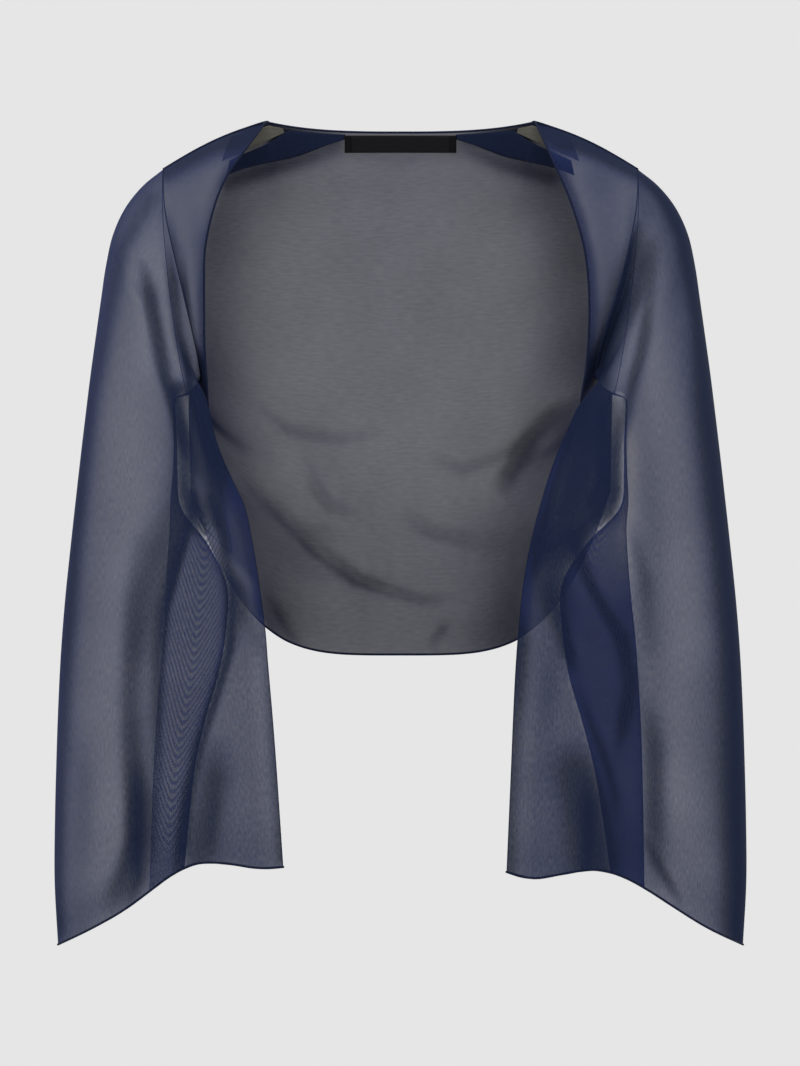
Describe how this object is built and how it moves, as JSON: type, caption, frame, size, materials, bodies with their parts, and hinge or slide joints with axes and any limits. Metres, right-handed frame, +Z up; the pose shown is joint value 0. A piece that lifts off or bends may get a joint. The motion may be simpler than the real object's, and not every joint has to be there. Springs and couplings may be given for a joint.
{
  "type": "bolero jacket",
  "caption": "Sheer cropped open bolero jacket with wide sleeves that end in a pointed cuff, filled out as worn, for dressing a figure.",
  "frame": {"origin": "midway between the two neck points, where the wearer's shoulders carry the jacket", "axes": "+Z up, the front faces -Y, +X towards the wearer's left sleeve"},
  "size_m": [0.5506, 0.2227, 0.6566],
  "materials": {
    "navy_chiffon": "sheer crepe chiffon, matt, dark navy",
    "navy_facing": "opaque double chiffon, matt, near black navy",
    "label_satin": "woven satin, soft sheen, black, bare",
    "pale_tape": "ribbed cotton tape, matt, pale beige"
  },
  "bodies": {
    "root": {"back": "navy_chiffon", "front_left": "navy_chiffon", "front_right": "navy_chiffon", "sleeve_left": "navy_chiffon", "sleeve_right": "navy_chiffon", "neck_facing_left": "navy_facing", "neck_facing_right": "navy_facing", "shoulder_tape_left": "pale_tape", "shoulder_tape_right": "pale_tape", "neck_label": "label_satin"}
  },
  "joints": []
}
